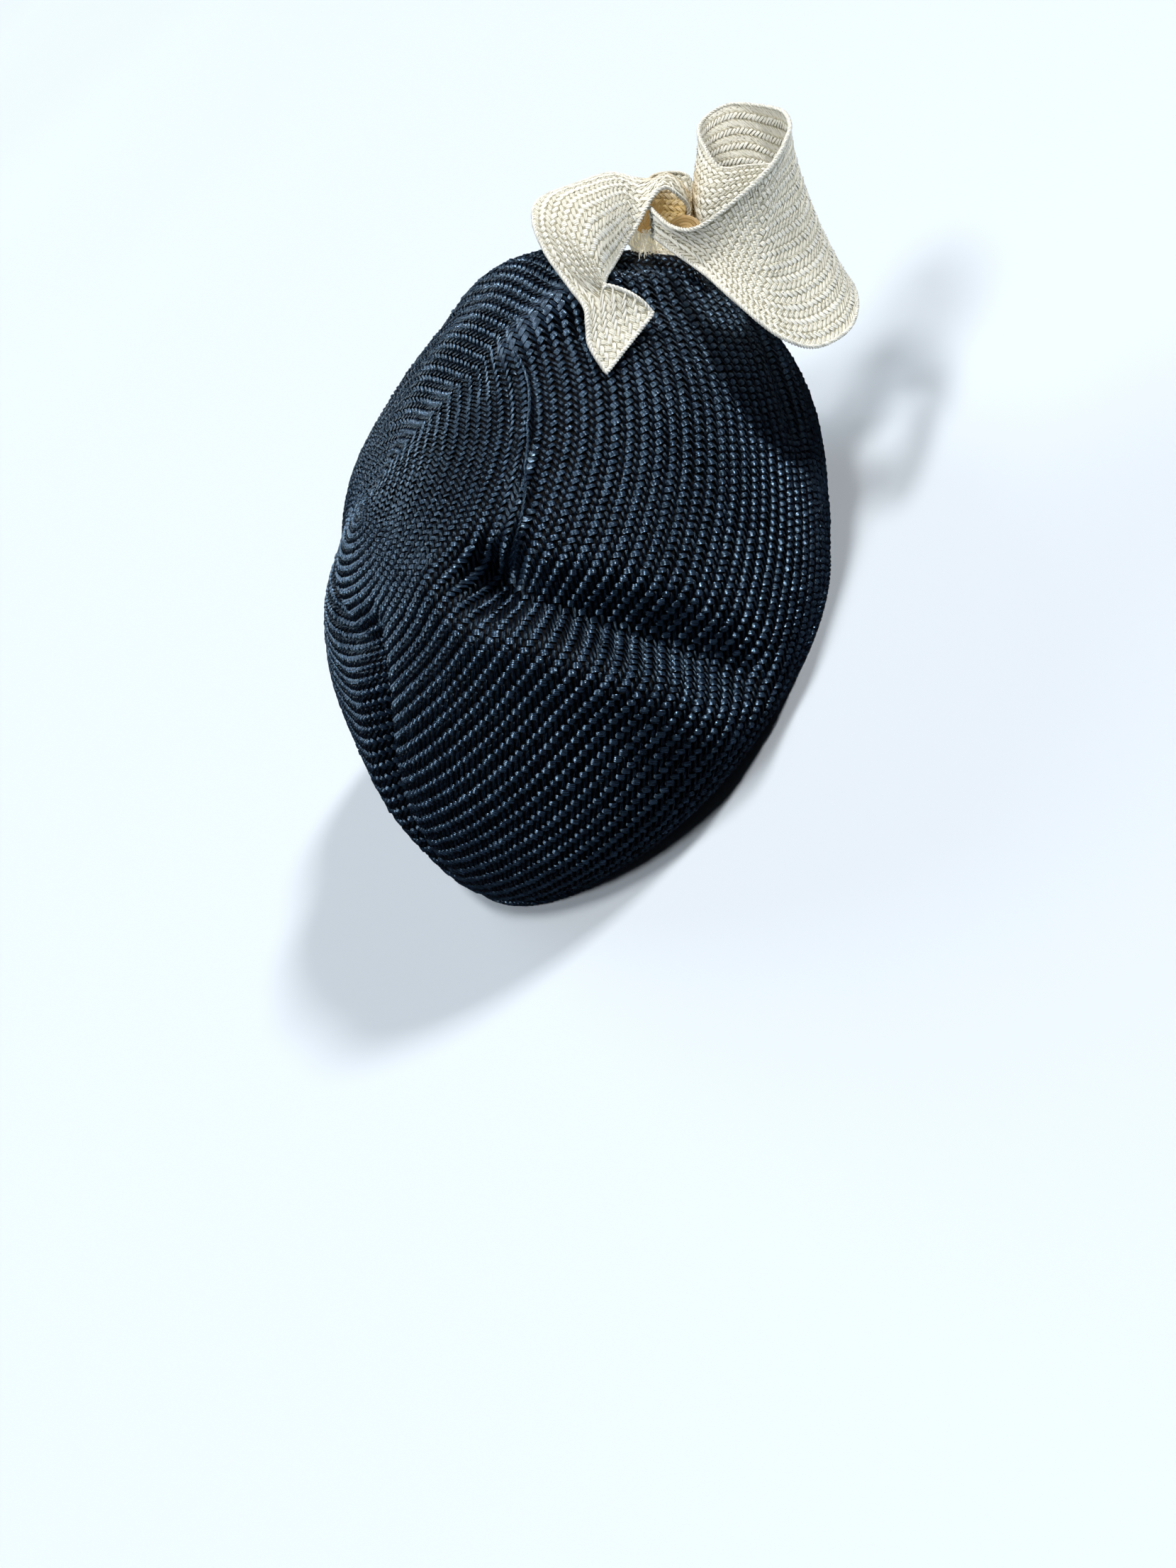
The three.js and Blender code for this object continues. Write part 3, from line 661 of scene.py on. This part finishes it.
def ground_finish(name, dark, body, warm=None):
    """The stiffened ground under the floats: a fine twill of the same straw, in darker painted shade."""
    finish = Finish(name)
    column, along = finish.pair("straw")
    way = finish.node("ShaderNodeMath", dict(operation="PINGPONG"), {0: column, 1: 1.0})
    floats = ((along + way) * (2 * math.pi)).sine() * 0.5 + 0.5
    edges = (column * math.pi).sine().size()
    grain = finish.noise(finish.vector(column * 1.7, along * 2.3), 1.0, 3.0)
    height = (floats * 0.6 + 0.4) * edges
    # painted shade: the twill's hollows and column edges are painted darker
    colour = finish.blend((height * 0.7 + grain * 0.3).clamped(), dark, body)
    if warm:
        colour = warm(finish, colour)
    return finish.surface(
        Base_Color=colour,
        Roughness=0.6 + grain * 0.2,
        Specular_IOR_Level=0.12,
        Normal=finish.bump(height, TWILL_DEPTH),
    )


navy_straw = straw_finish("navy_straw", NAVY, 0.14, 5, 1.0, NAVY_TINT, 1.76, satin_highlight=NAVY_SATIN_PAINTED_HIGHLIGHT)
navy_under = straw_finish("navy_under", NAVY, 0.17, 5, 0.8, NAVY_TINT, 1.52, satin_highlight=NAVY_SATIN_PAINTED_HIGHLIGHT)
# painted shade: near black for the holes between the floats, and for the inside of the hood
navy_ground = ground_finish("navy_ground", (0, 0, 0.0005, 1), NAVY_PAINTED_SHADE)
ivory_straw = straw_finish("ivory_straw", IVORY, 0.30, 3, 0.5, WHITE, warm=painted_cavity_light)
# painted shade: darker than the ivory straw, for the holes between the floats
ivory_ground = ground_finish("ivory_ground", (0.30, 0.28, 0.19, 1), (0.68, 0.64, 0.51, 1), painted_cavity_light)
# painted shade with a painted amber glow, for the raffia deep in the knot
raffia_painted_shade_and_glow = straw_finish("raffia_painted_shade_and_glow", RAFFIA_PAINTED_SHADE_AND_GLOW, 0.4, 3, 0.5, WHITE, glow=(0.56, 0.36, 0.13, 1))
# painted glow, standing for light that comes through the loose raffia
raffia = straw_finish("raffia", RAFFIA, 0.5, 2, 0.3, WHITE, glow=(0.62, 0.57, 0.44, 1))


# ---------- the crown ----------

WEAVE_DISTANCES = (0, 66, 104, 300)  # from the weave's middle
COLUMN_WIDTHS = (2.15, 2.3, 2.95, 2.95)  # of a column at each of them
FLOAT_PITCH = 1.07  # of a column's width
FULL_WIDTH = 2.2  # floats in a narrower column lie lower
NARROWEST = 0.6  # and in a column under this there are none
BARE_HEM = 0.4  # of the crown's face above the hem
STEADY = 0.07  # a column keeps its neighbour's count of floats until its length has changed by this share

# for the floats that lean left, then for those that lean right: how high they arch, the share of the
# room between neighbours that they fill, and how far they reach past their own column
CROWN_WAYS = ((0.95, 0.68, 1.08), (1.5, 0.96, 1.18))
STRIP_WAYS = ((0.52, 0.95, 1.16), (0.74, 1.0, 1.22))
INSIDE_WAYS = ((0.26, 1.0, 1.15), (0.95, 0.92, 1.15))

WEAVE_HEART = dict(bearing=132, ring=0.185, reach=0.54)  # the middle of the weave lies beside the tip
WEAVE_CORNER = dict(spin=338, wide=12, pull=0.16, reach=130)  # the columns turn sharply at the crease
SATIN = ((344, 0.31), (341, 0.24), (338, 0.16))  # bearings and rings of a crease pressed flat
SATIN_REACH = 7.0
SATIN_DEPTH = 0.8  # how much of a float's height is pressed out of it
# painted highlight added to the shade of a float pressed flat
SATIN_PAINTED_HIGHLIGHT = 1.3


def line_on_crown(stations, count, height=0.0):
    """Points over the crown's face along stations, whose first columns are bearing and ring."""
    place = np.linspace(0, len(stations) - 1, count)
    bearings, rings = read_rows(place, range(len(stations)), [row[:2] for row in stations]).T
    return crown.at(bearings * BEARINGS / 360, rings / LAST_RING * (RINGS - 1), height)


def standing(points):
    """How much the floats at points still stand up, 1 away from the pressed crease."""
    near = np.linalg.norm(points[:, None] - line_on_crown(SATIN, 21), axis=2).min(1)
    return 1 - SATIN_DEPTH * np.exp(-(near / SATIN_REACH) ** 4)


def weave_face(blocked, crown):
    """The crown's face laid out by the weave, turns about its middle by distance from it as blocked.

    Returns the face, its count of columns, the pitch of each, and which of its places lie on the crown.
    """
    spin, ring = np.meshgrid(np.arange(BEARINGS) * 360 / BEARINGS, np.linspace(0, 1, RINGS), indexing="ij")
    heart = math.radians(WEAVE_HEART["bearing"])

    def on_crown(ring):
        drift = WEAVE_HEART["ring"] * np.clip(1 - ring / WEAVE_HEART["reach"], 0, 1) ** 2
        left = ring * np.sin(np.radians(spin)) + drift * math.sin(heart)
        front = ring * np.cos(np.radians(spin)) + drift * math.cos(heart)
        return np.degrees(np.arctan2(left, front)) * BEARINGS / 360, np.hypot(left, front) * (RINGS - 1)

    far = line_lengths(blocked.at(*on_crown(ring)))
    distance = np.linspace(0, far.max(), RINGS)
    width = np.interp(distance, WEAVE_DISTANCES, COLUMN_WIDTHS)
    number = np.concatenate([[0], np.cumsum((1 / width[1:] + 1 / width[:-1]) / 2)]) * distance[1]
    count = round(number[-1])
    middles = np.interp((np.arange(count) + 0.5) * number[-1] / count, number, distance)
    pitches = np.interp(middles, WEAVE_DISTANCES, COLUMN_WIDTHS) * FLOAT_PITCH
    distance = np.interp(np.linspace(0, number[-1], RINGS), number, distance)
    aside = np.abs((spin - WEAVE_CORNER["spin"] + 180) % 360 - 180)
    pull = WEAVE_CORNER["pull"] * np.clip(1 - distance / WEAVE_CORNER["reach"], 0, 1)
    distance = distance * (1 + pull * np.exp(-aside / WEAVE_CORNER["wide"]))
    held = distance < far[:, -1:] - BARE_HEM
    u, v = on_crown(np.array([np.interp(d, f, ring[0]) for d, f in zip(distance, far)]))
    face = Surface(crown.at(u, v), True)
    face.normals = unit(crown.read(crown.normals, u, v))
    return face, count, pitches, held


def columns_of_floats(surface, count, pitch, ways, strands, slants=None, base=0.0, face=1, held=None,
                      standing=None, only=None):
    """Columns of floats side by side over v, each running along u, leaning left and right by turns.

    slants is the angle of the floats at each u, or 45 degrees. held says which places of the surface bear
    floats, and standing how much they rise there. only picks those that lean left, 0, or right, 1.
    """
    rows, columns = surface.points.shape[:2]
    width = (columns - 1) / count
    pitch = np.broadcast_to(pitch, count)
    parts = []
    fitted = None
    for column in range(count):
        v = (column + 0.5) * width
        u = np.arange(rows + 1 if surface.closed else rows, dtype=float)
        lengths = line_lengths(surface.at(u, v))
        wanted = lengths[-1] / pitch[column]
        if fitted is None or abs(wanted / fitted - 1) > STEADY:
            fitted = max(4, round(wanted))
        phase = 0.5 * (column % 2) + (0.25 if face < 0 else 0)
        place = (np.arange(fitted) + 0.25 + phase) / fitted
        place = place % 1 if surface.closed else place[place < 1]
        centres = np.interp(place * lengths[-1], lengths, u)
        across = surface.at(centres, v + width / 2) - surface.at(centres, v - width / 2)
        across = np.linalg.norm(across, axis=1)
        if held is not None:
            kept = held[np.round(centres).astype(int) % rows, round(v)] & (across > NARROWEST)
            centres, across = centres[kept], across[kept]
        if not len(centres) or only not in (None, column % 2):
            continue
        lift, full, past = ways[column % 2]
        upright = standing(surface.at(centres, v)) if standing else 1.0
        slant = np.full(len(centres), 45.0) if slants is None else np.interp(centres, u, slants)
        rise = np.sin(np.radians(slant))
        parts.append(woven_floats(
            surface, centres, v, 1 if column % 2 else -1, slant,
            half_long=across / (2 * rise) * past,
            half_wide=lengths[-1] / fitted * rise / 2 * full,
            strands=strands,
            lift=lift * np.minimum(1, across / FULL_WIDTH) * upright,
            base=base, face=face, painted_shine=SATIN_PAINTED_HIGHLIGHT * (1 - upright)))
    return joined(parts)


def rim_line(out, up, count=361):
    """The rim's oval, moved out and up, with its first point again at its end."""
    angle = np.linspace(0, 2 * math.pi, count)
    rim = np.stack([RIM_HALF_WIDTH * np.sin(angle), -RIM_HALF_LENGTH * np.cos(angle)], -1)
    normal = unit(np.stack([np.sin(angle) / RIM_HALF_WIDTH, -np.cos(angle) / RIM_HALF_LENGTH], -1))
    return np.concatenate([rim + out * normal, np.full((count, 1), up)], 1)


UNDER_FLOATS = 0.55  # how far the ground lies under the crown's face
TWILL_ROWS = 72
TWILL_ROUND = 190


def crown_wall(crown):
    """The hollow hood under the floats: its outside, the rolled hem and its inside."""
    around, down = 240, 96
    bearings = np.arange(around) * BEARINGS / around
    u, v = np.meshgrid(bearings, np.linspace(0, RINGS - 1, down), indexing="ij")
    outer = crown.at(u, v, -UNDER_FLOATS)
    inner = crown.at(u, v, -WALL)[:, ::-1]
    inner[:, 0] = (inner[:, 0] + inner[:, 1]) / 2
    hem = np.stack([rim_line(out, up, around + 1)[:-1] for out, up in HEM_UNDER_CORD], 1)
    points = np.concatenate([outer, hem, inner], 1)
    rows, columns = points.shape[:2]
    ring = np.concatenate([np.linspace(0, 1, down), np.full(hem.shape[1], 1), np.linspace(1, 0, down)])
    column = np.broadcast_to(ring * TWILL_ROWS, (rows, columns))
    along = np.broadcast_to(np.arange(rows)[:, None] * TWILL_ROUND / rows, (rows, columns))
    layers = [("straw", np.stack([column, along], -1).reshape(-1, 2))]
    form = points.reshape(-1, 3), grid_faces(rows, columns, True), layers
    return merge_close(piece("crown_wall", form, navy_ground))


blocked, crown = crown_face()
wall = crown_wall(crown)
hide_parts("crown")

weave, count, pitches, held = weave_face(blocked, crown)
for name, only, finish in (("crown_weave_left", 0, navy_under), ("crown_weave_right", 1, navy_straw)):
    floats = columns_of_floats(
        weave, count, pitches, CROWN_WAYS, 1, held=held, standing=standing, only=only)
    piece(name, floats, finish)

HEM_CORD = dict(strand=1.05, pitch=5.2)
hem = twisted_cord(rim_line(0.7, 1.95), **HEM_CORD, closed=True)
piece("hem_cord", joined(hem), navy_straw)

LIP_CORD = dict(strand=0.34, pitch=4.6)
stations = dict((name, line) for name, _, _, line in FOLDS)["lip crest"]
lip = twisted_cord(line_on_crown(stations, 60, 0.75), **LIP_CORD)
piece("lip_straws", joined(lip), navy_straw)


# ---------- the trim ----------

ALONG = 14  # steps between stations
ACROSS = 30
CLOTH = 0.3  # thickness of the ground, whose faces lie just under the floats' feet
CLOTH_FACE = 0.22
STRIP_PITCH = 2.9
STRIP_CORD = dict(strand=0.52, pitch=3.0)
GATHERED = ((12, 34), (17, 45))  # widths of a strip, and the slant of its floats there
OVERHANG = 0.6  # the share of half a column that has to lie on the strip

PLAIN = dict(pitch=STRIP_PITCH, strands=3, ways=STRIP_WAYS)
BANDED = dict(pitch=1.75, strands=1, ways=INSIDE_WAYS)
STRIP_WEAVE = {  # how narrow a column may be, the edge they follow, the weave outside and inside
    "trim_curl": (2.3, "lower, then upper", dict(count=27, **PLAIN), dict(count=18, **BANDED)),
    "trim_tail_loop": (2.7, "lower", dict(count=15, **PLAIN), dict(count=15, **PLAIN)),
    "trim_back_loop": (2.4, "upper", dict(count=11, **PLAIN), dict(count=11, **PLAIN)),
}


def strip_face(stations):
    """The middle face of a strip through its stations."""
    upper, lower = (np.array([row[k] for row in stations], float) for k in (0, 1))
    bow = np.array([[row[2]] for row in stations], float)
    count = (len(stations) - 1) * ALONG + 1
    place = np.minimum(np.arange(count) / ALONG, len(stations) - 1 - 1e-9)
    start = place.astype(int)
    t = (place - start)[:, None]

    def drawn(values):
        values = np.concatenate([[2 * values[0] - values[1]], values, [2 * values[-1] - values[-2]]])
        return smooth(*(values[start + k] for k in range(4)), t)

    upper, lower, bow = drawn(upper), drawn(lower), drawn(bow)
    along = np.gradient((upper + lower) / 2, axis=0)
    normal = unit(np.cross(along, lower - upper))
    v = np.linspace(0, 1, ACROSS + 1)[None, :, None]
    flat = upper[:, None] * (1 - v) + lower[:, None] * v
    points = flat + normal[:, None] * (4 * v * (1 - v)) * bow[:, None]
    return Surface(on_hat(points), False)


def strip_cloth(name, surface, columns, material=ivory_ground):
    """The ground of a strip: its two faces and the edge between them."""
    rows, across = surface.points.shape[:2]
    u, v = np.meshgrid(np.arange(rows, dtype=float), np.arange(across, dtype=float), indexing="ij")
    front = surface.at(u, v, CLOTH / 2)
    back = surface.at(u, v, -CLOTH / 2)
    points = np.concatenate([front.reshape(-1, 3), back.reshape(-1, 3)])
    one = grid_faces(rows, across, False)
    size = rows * across
    edge = np.concatenate([
        np.arange(0, across), np.arange(1, rows) * across + across - 1,
        size - 1 - np.arange(1, across), np.arange(rows - 2, 0, -1) * across])
    following = np.roll(edge, -1)
    sides = np.stack([edge, edge + size, following + size, following], -1)
    faces = np.concatenate([one, one[:, ::-1] + size, sides[:, ::-1]])
    lengths = line_lengths(surface.points[:, across // 2]) / STRIP_PITCH
    column = np.broadcast_to(np.linspace(0, columns, across), (rows, across)).ravel()
    along = np.broadcast_to(lengths[:, None], (rows, across)).ravel()
    layer = np.stack([np.tile(column, 2), np.tile(along, 2)], -1)
    return piece(name, (points, faces, [("straw", layer)]), material)


def strip_edges(surface):
    """A twisted cord along both edges and across the free end."""
    points = surface.points
    line = np.concatenate([points[:, 0], points[-1, 1:-1], points[::-1, -1]])
    return twisted_cord(line, **STRIP_CORD)


def strip_weave(surface, count, narrowest, edge):
    """A strip's face laid out by its columns, which of its places lie on it, and the floats' slants."""
    rows, across = surface.points.shape[:2]
    width = np.linalg.norm(np.diff(surface.points, axis=1), axis=2).sum(1)[:, None]
    column = np.maximum(width / count, narrowest)
    number = np.linspace(0, count, 4 * count + 1)[None, :]
    from_upper = number * column / width
    from_lower = 1 - (count - number) * column / width
    if edge == "upper":
        share = from_upper
    elif edge == "lower":
        share = from_lower
    else:
        share = np.where(np.arange(rows)[:, None] < int(np.argmax(width)), from_lower, from_upper)
    u = np.broadcast_to(np.arange(rows, dtype=float)[:, None], share.shape)
    half = OVERHANG * column / width / 2
    held = (share > half) & (share < 1 - half)
    face = Surface(surface.at(u, share * (across - 1)), False)
    face.normals = unit(surface.read(surface.normals, u, share * (across - 1)))
    slants = np.interp(width[:, 0], GATHERED[0], GATHERED[1])
    return face, held, slants


for name, stations in STRIPS.items():
    narrowest, edge, outside, inside = STRIP_WEAVE[name]
    surface = strip_face(stations)
    cloth = strip_cloth(name + "_cloth", surface, outside["count"])
    sides = []
    for side, weave in ((1, outside), (-1, inside)):
        face, held, slants = strip_weave(surface, weave["count"], narrowest, edge)
        sides.append(columns_of_floats(face, **weave, slants=slants, base=CLOTH_FACE, face=side, held=held))
    floats = piece(name + "_weave", joined(sides), ivory_straw)
    cord = piece(name + "_edge", joined(strip_edges(surface)), ivory_straw)
    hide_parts(name)


# ---------- the knot ----------

LAYER_SCALE = (0.2, 0.1)  # of the knot's straw ridges, and of its change of shade, which leaves the bundle in painted shade


def knot_piece():
    """The knot's own form, finished as a bundle of raffia in painted shade with a painted glow."""
    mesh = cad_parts["trim_knot"].data
    points = np.empty(len(mesh.vertices) * 3)
    mesh.vertices.foreach_get("co", points)
    points = points.reshape(-1, 3) / METRES - REST
    faces = np.array([tuple(p.vertices) for p in mesh.polygons])
    layers = [("straw", points[:, :2] * LAYER_SCALE[0]), ("float", points[:, 1:] * LAYER_SCALE[1])]
    return merge_close(piece("knot_bundle", (points, faces, layers), raffia_painted_shade_and_glow))


knot = knot_piece()
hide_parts("trim_knot")


THREAD_BEND = 1.3  # how far a loose straw strays at its middle


def thread(start, bend, end, radius):
    """A single straw on the trim's axes, from start by way of bend to end, thin at its tip."""
    t = np.linspace(0, 1, 10)[:, None]
    start, bend, end = (np.array(p, float) for p in (start, bend, end))
    path = start * (1 - t) ** 2 + bend * 2 * t * (1 - t) + end * t ** 2
    return tube(on_hat(path), np.interp(t[:, 0], (0, 0.8, 1), (radius, radius, radius * 0.4)))


def tuft(rows):
    """Loose straws from rows of: middle of their feet, of their tips, spread of each, radius, how many."""
    threads = []
    for foot, tip, spread, spread_2, radius, count in rows:
        for _ in range(count):
            start = np.array(foot) + chance.normal(0, spread)
            end = np.array(tip) + chance.normal(0, spread_2)
            bend = (start + end) / 2 + chance.normal(0, THREAD_BEND, 3)
            threads.append(thread(start, bend, end, radius))
    return joined(threads)


FRAYED_ENDS = (  # the raw ends of the strips under the knot
    ((2, 16, -4), (5, 10, -3), (1.8, 2.0, 1.2), (2.2, 1.4, 1.0), 0.42, 34),
    ((8, 14, -2), (10, 9, 0), (2.0, 2.0, 1.0), (2.6, 1.2, 0.8), 0.36, 44),
    ((14, 10, 0), (18, 7.5, 1), (2.0, 1.2, 0.8), (3.0, 0.8, 0.6), 0.30, 34),
    ((6, 13, 0), (6, 5, 2), (2.4, 1.0, 0.6), (3.0, 1.0, 0.6), 0.16, 7),
)
WARM_ENDS = (  # the bundle over them, painted amber with a painted glow for light that comes only through the straw
    ((9, 28, -8), (6, 18, -7), (2.6, 1.4, 1.4), (2.4, 1.4, 1.4), 0.40, 46),
)
piece("knot_straws", tuft(FRAYED_ENDS), raffia)
piece("warm_straws", tuft(WARM_ENDS), raffia_painted_shade_and_glow)

DRAWN_UP = (  # a fold of the crown's cloth drawn up into the knot, on the trim's axes: ridge, then foot
    ((-9, 7, -5), (-9, -3, 8)), ((-3, 11, -9), (-3, 1, 3)), ((4, 11, -7), (4, -1, 6)),
    ((11, 8, -1), (11, -1, 5)), ((18, 7, 0), (18, -1, 2)), ((25, 3.5, -3), (25, -2, -1)),
    ((31, -3, -8), (31, -7, -6)),
)
DRAWN_UP_BOW = (0, 0.6, 1.6)
DRAWN_UP_COLUMNS = 4
DRAWN_UP_PITCH = 3.1


def drawn_up_face():
    rows = np.array(DRAWN_UP, float)
    place = np.linspace(0, len(rows) - 1, 41)
    ridge, foot = (read_rows(place, range(len(rows)), rows[:, k]) for k in (0, 1))
    share = np.linspace(0, 1, 9)[None, :, None]
    bow = np.array(DRAWN_UP_BOW) * (4 * share * (1 - share))
    return Surface(on_hat(ridge[:, None] * (1 - share) + foot[:, None] * share + bow), False)


drawn_up = drawn_up_face()
strip_cloth("fold_cloth", drawn_up, DRAWN_UP_COLUMNS, navy_ground)
floats = columns_of_floats(drawn_up, DRAWN_UP_COLUMNS, DRAWN_UP_PITCH, CROWN_WAYS, 1)
piece("fold_weave", floats, navy_straw)

COIL_MIDDLE = (21.5, 17.5, -3.0)  # on the trim's axes
COIL_RADII = (6.2, 5.0, 3.8, 2.6)
COIL_FLATNESS = 0.85
COIL_TILT = 1.5  # how far the near side of a turn rises
COIL_STEP = 0.7  # down from one turn to the next
COIL_STRAND = 0.75


def coil_turns():
    """Turns of raffia wound about the knot, each a little over half a circle."""
    angle = np.linspace(-0.3, math.pi + 0.5, 22)
    turns = []
    for depth, radius in enumerate(COIL_RADII):
        up = COIL_TILT * np.cos(angle) - COIL_STEP * depth
        arc = np.stack([radius * np.cos(angle), COIL_FLATNESS * radius * np.sin(angle), up], -1)
        turns.append(tube(on_hat(arc + COIL_MIDDLE), COIL_STRAND))
    return turns


# the coil is in the same painted shade and painted glow as the knot
piece("raffia_coil", joined(coil_turns()), raffia_painted_shade_and_glow)


# ---------- floor, lights and camera ----------

FLOOR_REACH = 60.0
BACKDROP_REACH = 14.0
BACKDROP_HEIGHT = 14.0
BACKDROP_FOOT = -1.0
BACKDROP_SIDES = 48
AIR_COLOUR = (0.84, 0.90, 1.0, 1)
AIR_STRENGTH = 0.015

# where each sun stands, on the trim's axes or the hat's, its strength, its width in degrees, its colour
SUNS = (
    ("rim", TRIM_AXES.T @ (-0.9, 0.5, -0.5), 0.9, 34, (0.80, 0.93, 1.0)),
    ("overhead", (-0.06, -0.02, 0.98), 1.35, 12, (1.0, 0.99, 0.97)),
    ("key", TRIM_AXES.T @ (0.2, 1.0, 0.5), 2.3, 7, (1.0, 0.99, 0.97)),
    ("fill", TRIM_AXES.T @ (-0.9, 0.3, 1.0), 1.15, 16, (0.97, 0.99, 1.0)),
)


def stage_piece(name, points, faces, finish):
    mesh = bpy.data.meshes.new(name)
    mesh.from_pydata(points, [], faces)
    mesh.materials.append(finish.material)
    obj = placed(name, mesh)
    return obj


def floor():
    finish = Finish("pale_floor")
    tone = finish.noise(finish.place(), 0.6)
    colour = finish.blend(tone, (0.64, 0.70, 0.77, 1), (0.675, 0.735, 0.805, 1))
    finish.surface(Base_Color=colour, Roughness=0.9)
    corners = [(x * FLOOR_REACH, y * FLOOR_REACH, 0) for x, y in ((-1, -1), (1, -1), (1, 1), (-1, 1))]
    obj = stage_piece("floor", corners, [(0, 1, 2, 3)], finish)
    obj.visible_glossy = False  # the straw mirrors the dark of the studio and its lamps


def backdrop():
    """A pale ring of paper round the floor, which takes no part in lighting the hat."""
    finish = Finish("pale_backdrop")
    finish.surface(Base_Color=BLACK, Specular_IOR_Level=0.0, Emission_Color=(0.86, 0.94, 1.0, 1),
                   Emission_Strength=0.95)
    points = []
    for turn in np.arange(BACKDROP_SIDES) * 2 * math.pi / BACKDROP_SIDES:
        place = (BACKDROP_REACH * math.cos(turn), BACKDROP_REACH * math.sin(turn))
        points += [(*place, BACKDROP_FOOT), (*place, BACKDROP_HEIGHT)]
    starts = range(0, len(points), 2)
    faces = [(n, n + 1, (n + 3) % len(points), (n + 2) % len(points)) for n in starts]
    obj = stage_piece("backdrop", points, faces, finish)
    obj.visible_glossy = obj.visible_diffuse = obj.visible_shadow = False


def soft_sun(name, toward, strength, angle, colour):
    light = bpy.data.lights.new(name, "SUN")
    light.energy = strength
    light.angle = math.radians(angle)
    light.color = colour
    placed(name, light).rotation_euler = Vector(toward).to_track_quat("Z", "Y").to_euler()


def studio():
    world = bpy.data.worlds.new("studio")
    bpy.context.scene.world = world
    world.use_nodes = True
    air = world.node_tree.nodes["Background"].inputs
    air["Color"].default_value = AIR_COLOUR
    air["Strength"].default_value = AIR_STRENGTH
    bpy.context.scene.view_settings.view_transform = "Standard"


LENS = 50.13
SENSOR = 36
DISTANCE = 0.7  # metres from the rim's centre
FARTHEST = 200
SHIFT = (-0.0455, -0.079)  # of the view's width, so the rim's centre is right of the middle and above it


def camera():
    """Looks along the trim's own axes at the rim's centre."""
    right, up, toward = (Vector(axis) for axis in TRIM_AXES)
    data = bpy.data.cameras.new("camera")
    data.sensor_fit = "HORIZONTAL"
    data.sensor_width = SENSOR
    data.lens = LENS
    data.clip_end = FARTHEST
    data.shift_x, data.shift_y = SHIFT
    obj = placed("camera", data)
    place = Vector(REST * METRES) + toward * DISTANCE  # REST is also where the rim's centre lies
    obj.matrix_world = Matrix.Translation(place) @ Matrix((right, up, toward)).transposed().to_4x4()
    bpy.context.scene.camera = obj


floor()
backdrop()
for sun in SUNS:
    soft_sun(*sun)
studio()
camera()
